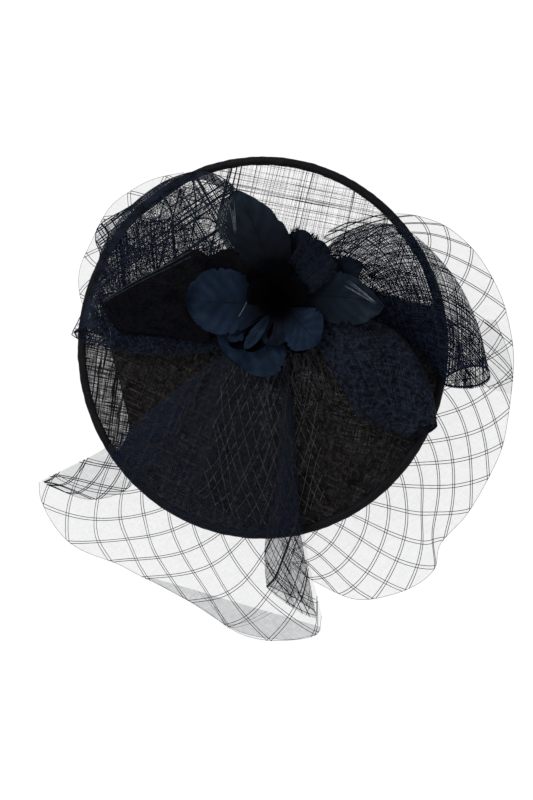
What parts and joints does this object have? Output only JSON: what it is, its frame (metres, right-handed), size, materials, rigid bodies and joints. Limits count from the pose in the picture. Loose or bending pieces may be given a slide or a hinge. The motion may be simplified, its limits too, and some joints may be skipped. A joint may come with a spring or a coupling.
{
  "type": "fascinator headpiece",
  "caption": "Round see-through woven disc with bound rim, woven bow, crin veils, net tuft and feather flower, held in the hair by a sprung clip under a felt pad.",
  "frame": {"origin": "on the disc's axis in the rim's middle plane, which is the middle of the hair gap between the clip's jaws", "axes": "+Z out of the dressed side, away from the head; +Y towards the back of the disc; +X to the wearer's side where the wide right veil hangs"},
  "size_m": [0.3939, 0.3885, 0.079],
  "materials": {
    "disc_sinamay": "single layer of open woven sinamay, see-through",
    "drape_sinamay": "second layer of sinamay, nearly opaque over the first",
    "bow_sinamay": "stiffened sinamay on the bias, midnight blue to black",
    "rim_binding": "folded bias strip, close weave",
    "crin": "horsehair braid, fine translucent mesh with dark paired lines",
    "net": "diamond netting",
    "feather_vane": "trimmed goose feather, soft sheen",
    "feather_fringe": "fringed feather barbs",
    "flower_core": "black bound centre",
    "felt": "black wool felt",
    "buckram": "stiffened buckram pad",
    "millinery_wire": "cotton-wound steel wire",
    "clip_steel": "nickel-plated spring steel",
    "thread": "waxed polyester thread"
  },
  "bodies": {
    "headpiece": {"back_veil": "crin", "base_pad": "buckram", "clip_pin": "clip_steel", "clip_spring": "clip_steel", "clip_stitches": "thread", "clip_upper_jaw": "clip_steel", "felt_cover": "felt", "flower_base": "felt", "flower_core": "flower_core", "flower_stem": "millinery_wire", "fringe_right": "feather_fringe", "fringe_short": "feather_fringe", "fringe_tall": "feather_fringe", "front_pleat": "crin", "front_veil": "crin", "front_veil_tip": "crin", "knot_binding": "bow_sinamay", "left_fold": "bow_sinamay", "left_wing": "bow_sinamay", "lower_drape": "drape_sinamay", "net_tuft": "net", "petal_back_low": "feather_vane", "petal_back_right": "feather_vane", "petal_front_mid": "feather_vane", "petal_front_right": "feather_vane", "petal_front_wide": "feather_vane", "petal_inner_back": "feather_vane", "petal_inner_left": "feather_vane", "petal_inner_right": "feather_vane", "petal_left_curl": "feather_vane", "petal_left_dark": "feather_vane", "petal_left_round": "feather_vane", "petal_right_long": "feather_vane", "petal_right_low": "feather_vane", "petal_small_curl": "feather_vane", "petal_top": "feather_vane", "petal_top_light": "feather_vane", "right_cone": "bow_sinamay", "right_fold": "bow_sinamay", "right_veil": "crin", "rim_binding": "rim_binding", "rim_wire": "millinery_wire", "sinamay_disc": "disc_sinamay", "stem_anchor": "felt", "under_veil": "crin", "veil_tacks": "thread"},
    "clip_jaw": {"clip_lower_jaw": "clip_steel"}
  },
  "joints": [
    {"name": "jaw_hinge", "type": "hinge", "parent": "headpiece", "child": "clip_jaw", "pos_m": [0.008, 0, -0.0036], "axis": [0, -1, 0], "range_deg": [0, 20], "stiffness_Nm_per_rad": 0.08, "springref_deg": -34.38, "deforming": ["clip_spring"]}
  ]
}
